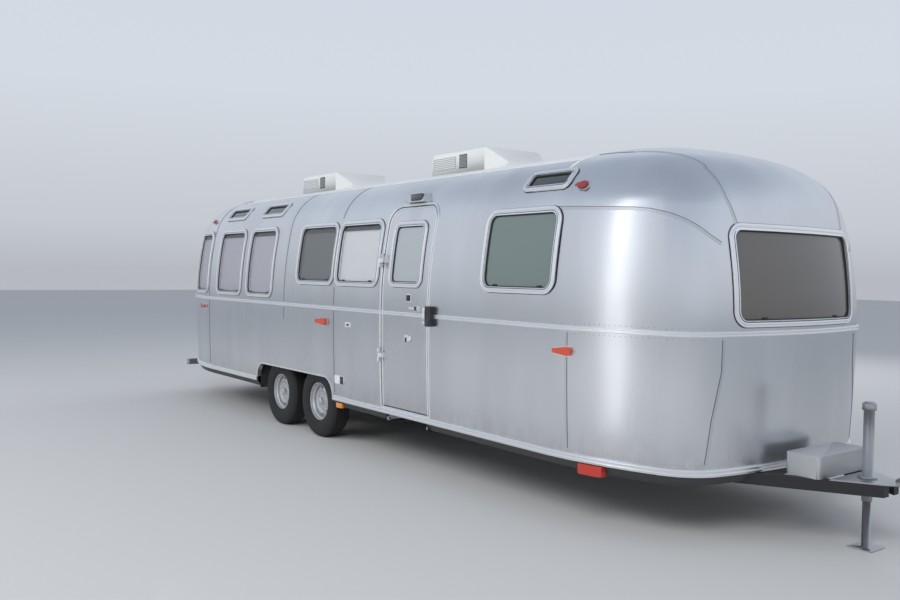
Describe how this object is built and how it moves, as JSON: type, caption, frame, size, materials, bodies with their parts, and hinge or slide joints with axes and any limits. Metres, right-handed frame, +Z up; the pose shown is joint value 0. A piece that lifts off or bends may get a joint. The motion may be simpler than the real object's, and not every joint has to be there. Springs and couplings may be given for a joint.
{
  "type": "travel caravan",
  "caption": "Riveted aluminium travel caravan with rounded ends, tandem axles, a side entry door, a folding step and a tongue jack.",
  "frame": {"origin": "on the ground, under the middle of the whole caravan", "axes": "+X towards the hitch, -Y the kerb side with the entry door, +Z up"},
  "size_m": [9.46, 2.5056, 2.8166],
  "materials": {
    "shell": "aged bare aluminium sheet, semi gloss",
    "roof_white": "white roof coating, satin",
    "trim": "bright extruded trim",
    "glass": "grey tinted glass",
    "blind": "pale window blind",
    "belly": "dull grey belly sheet",
    "frame_paint": "black chassis paint",
    "floor": "plywood",
    "tyre": "black tyre rubber",
    "rim": "silver painted steel",
    "steel": "zinc plated steel",
    "shroud": "white moulded shroud",
    "locker": "light grey painted steel",
    "red_lens": "red lamp lens",
    "amber_lens": "amber lamp lens",
    "clear_lens": "clear lamp lens",
    "white_paint": "white painted hatch",
    "chrome": "chrome plate"
  },
  "bodies": {
    "caravan": {"a_frame": "frame_paint", "air_conditioners": "shroud", "amber_lenses": "amber_lens", "axles": "frame_paint", "battery_box": "locker", "belly_pan": "belly", "belt_moulding": "trim", "body_hinge_leaves": "steel", "bottom_rail": "trim", "door_catch": "steel", "door_frame": "trim", "end_window_frames": "trim", "end_window_glass": "glass", "floor_deck": "floor", "frame_rails": "frame_paint", "front_shell": "shell", "hitch_coupler": "steel", "jack_tube": "steel", "kerb_side_wall": "shell", "lamp_bases": "chrome", "lock_box": "frame_paint", "off_side_wall": "shell", "porch_lamp": "clear_lens", "rear_bumper": "steel", "rear_shell": "shell", "red_lenses": "red_lens", "roof_panel": "roof_white", "service_hatches": "white_paint", "side_window_frames": "trim", "side_window_glass": "glass", "step_brackets": "frame_paint", "wheel_arch_trims": "trim", "wheel_wells": "frame_paint", "window_blinds": "blind"},
    "entry_door": {"door_panel": "shell", "door_window_frame": "trim", "door_glass": "glass", "door_moulding": "trim", "door_latch": "chrome", "door_hinge_leaves": "steel"},
    "tongue_jack": {"jack_leg": "steel"},
    "folding_step": {"entry_step": "locker"},
    "wheel_front_kerb": {"tyre_front_kerb": "tyre", "rim_front_kerb": "rim"},
    "wheel_front_off": {"tyre_front_off": "tyre", "rim_front_off": "rim"},
    "wheel_rear_kerb": {"tyre_rear_kerb": "tyre", "rim_rear_kerb": "rim"},
    "wheel_rear_off": {"tyre_rear_off": "tyre", "rim_rear_off": "rim"}
  },
  "joints": [
    {"name": "wheel_front_kerb_spin", "type": "hinge", "parent": "caravan", "child": "wheel_front_kerb", "pos_m": [-0.715, -1.035, 0.356], "axis": [0, 1, 0], "continuous": true},
    {"name": "wheel_front_off_spin", "type": "hinge", "parent": "caravan", "child": "wheel_front_off", "pos_m": [-0.715, 1.035, 0.356], "axis": [0, 1, 0], "continuous": true},
    {"name": "wheel_rear_kerb_spin", "type": "hinge", "parent": "caravan", "child": "wheel_rear_kerb", "pos_m": [-1.565, -1.035, 0.356], "axis": [0, 1, 0], "continuous": true},
    {"name": "wheel_rear_off_spin", "type": "hinge", "parent": "caravan", "child": "wheel_rear_off", "pos_m": [-1.565, 1.035, 0.356], "axis": [0, 1, 0], "continuous": true},
    {"name": "door_swing", "type": "hinge", "parent": "caravan", "child": "entry_door", "pos_m": [0.612, -1.244, 1.357], "axis": [0, 0, -1], "range_deg": [0, 178]},
    {"name": "jack_extend", "type": "slide", "parent": "caravan", "child": "tongue_jack", "axis": [0, 0, 1], "range_m": [-0.1, 0.28]},
    {"name": "step_fold", "type": "hinge", "parent": "caravan", "child": "folding_step", "pos_m": [0.965, -1.16, 0.388], "axis": [-1, 0, 0], "range_deg": [0, 180]}
  ]
}
